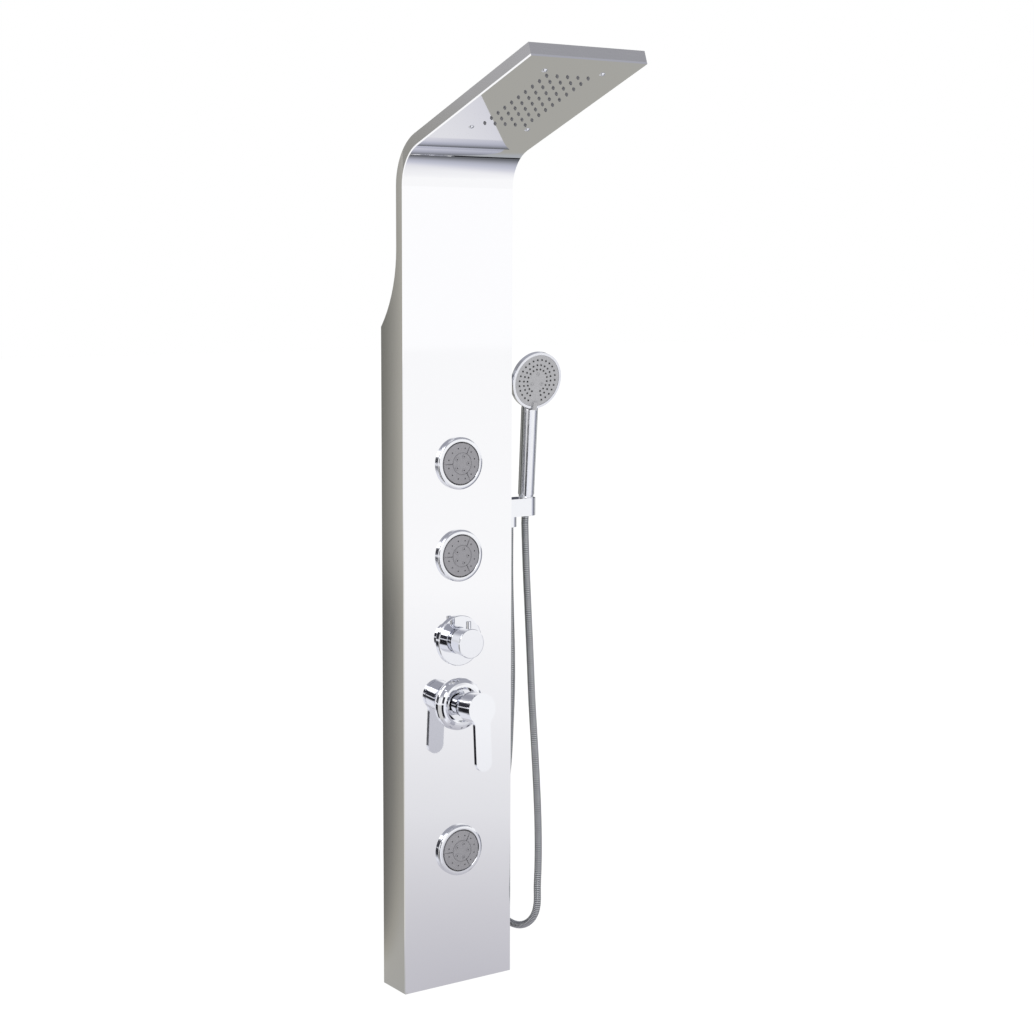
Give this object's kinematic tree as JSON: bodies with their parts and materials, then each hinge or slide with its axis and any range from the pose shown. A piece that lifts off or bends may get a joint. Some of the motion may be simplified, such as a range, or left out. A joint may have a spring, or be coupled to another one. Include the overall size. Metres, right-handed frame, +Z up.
{
  "type": "shower panel column",
  "caption": "Wall-hung mirror-steel shower column that bends forward into a rain head, with swivelling body jets, a diverter, a lever mixer and a handset on a ribbed hose.",
  "frame": {"origin": "on the wall plane, at the middle of the column's lower edge, on the rear flange of its bottom cap", "axes": "+X to the right seen from the front, +Y into the wall, +Z up; the mirror face and the rain head look towards -Y"},
  "size_m": [0.2935, 0.4012, 1.4465],
  "materials": {
    "mirror_steel": "mirror-polished stainless sheet",
    "satin_steel": "polished stainless sheet",
    "zinc_steel": "zinc-plated",
    "chrome": "bright chrome plating",
    "jet_grey": "grey moulded plastic",
    "white_plastic": "moulded",
    "white_pipe": "extruded pipe",
    "ivory_plastic": "moulded",
    "dark_rubber": "matte",
    "black_plastic": "moulded",
    "brass": "cast and machined",
    "hose_steel": "bright ribbed steel",
    "spray_grey": "grey moulded plastic"
  },
  "bodies": {
    "column": {"front_panel": "mirror_steel", "left_side_plate": "satin_steel", "right_side_plate": "satin_steel", "back_cover": "satin_steel", "head_tip_plate": "satin_steel", "bottom_cap": "black_plastic", "upper_rail": "zinc_steel", "lower_rail": "zinc_steel", "upper_wall_bracket": "zinc_steel", "lower_wall_bracket": "zinc_steel", "rail_screws": "zinc_steel", "rain_chamber": "white_plastic", "nozzle_mat": "dark_rubber", "rain_head_screws": "chrome", "rain_feed_lower": "white_pipe", "rain_feed_upper": "white_pipe", "rain_feed_coupling": "brass", "upper_jet_bezel": "chrome", "upper_jet_body": "white_plastic", "upper_jet_nut": "black_plastic", "middle_jet_bezel": "chrome", "middle_jet_body": "white_plastic", "middle_jet_nut": "black_plastic", "lower_jet_bezel": "chrome", "lower_jet_body": "white_plastic", "lower_jet_nut": "black_plastic", "jet_gaskets": "dark_rubber", "jet_manifold": "white_pipe", "pipe_nuts": "brass", "handset_feed": "white_pipe", "diverter_body": "brass", "diverter_locknut": "brass", "diverter_escutcheon": "chrome", "mixer_body": "brass", "mixer_outlet_pipe": "brass", "mixer_cartridge": "ivory_plastic", "mixer_collar": "chrome", "mixer_escutcheon": "chrome", "holder_arm": "chrome", "holder_locknut": "brass", "hose_outlet_nut": "chrome", "outlet_washer": "dark_rubber", "shower_hose": "hose_steel"},
    "upper_jet": {"upper_jet_face": "jet_grey"},
    "middle_jet": {"middle_jet_face": "jet_grey"},
    "lower_jet": {"lower_jet_face": "jet_grey"},
    "diverter": {"diverter_spindle": "brass", "diverter_knob": "chrome", "diverter_peg": "chrome"},
    "mixer_turret": {"mixer_carrier": "white_plastic", "mixer_pivot_pin": "zinc_steel"},
    "lever": {"mixer_stem": "zinc_steel", "mixer_lever": "chrome", "mixer_lever_screw": "zinc_steel"},
    "handset": {"hose_cone_nut": "chrome", "handset_body": "chrome", "handset_rim": "chrome"},
    "spray": {"spray_face": "spray_grey", "spray_nozzles": "dark_rubber"}
  },
  "joints": [
    {"name": "upper_jet_tilt", "type": "hinge", "parent": "column", "child": "upper_jet", "pos_m": [0, -0.068, 0.839], "axis": [1, 0, 0], "range_deg": [-10, 10]},
    {"name": "middle_jet_tilt", "type": "hinge", "parent": "column", "child": "middle_jet", "pos_m": [0, -0.068, 0.694], "axis": [1, 0, 0], "range_deg": [-10, 10]},
    {"name": "lower_jet_tilt", "type": "hinge", "parent": "column", "child": "lower_jet", "pos_m": [0, -0.068, 0.22], "axis": [1, 0, 0], "range_deg": [-10, 10]},
    {"name": "diverter_turn", "type": "hinge", "parent": "column", "child": "diverter", "pos_m": [0, -0.066, 0.559], "axis": [0, 1, 0], "range_deg": [-90, 90]},
    {"name": "mixer_turn", "type": "hinge", "parent": "column", "child": "mixer_turret", "pos_m": [0, -0.066, 0.457], "axis": [0, 1, 0], "range_deg": [-50, 50]},
    {"name": "lever_lift", "type": "hinge", "parent": "mixer_turret", "child": "lever", "pos_m": [0, -0.078, 0.457], "axis": [-1, 0, 0], "range_deg": [0, 24]},
    {"name": "handset_lift", "type": "slide", "parent": "column", "child": "handset", "axis": [0, -0.0645, 0.9979], "range_m": [0, 0.04]},
    {"name": "spray_select", "type": "hinge", "parent": "handset", "child": "spray", "pos_m": [0.1475, -0.06644, 0.96315], "axis": [0, -0.9781, -0.2079], "range_deg": [-60, 60]}
  ]
}
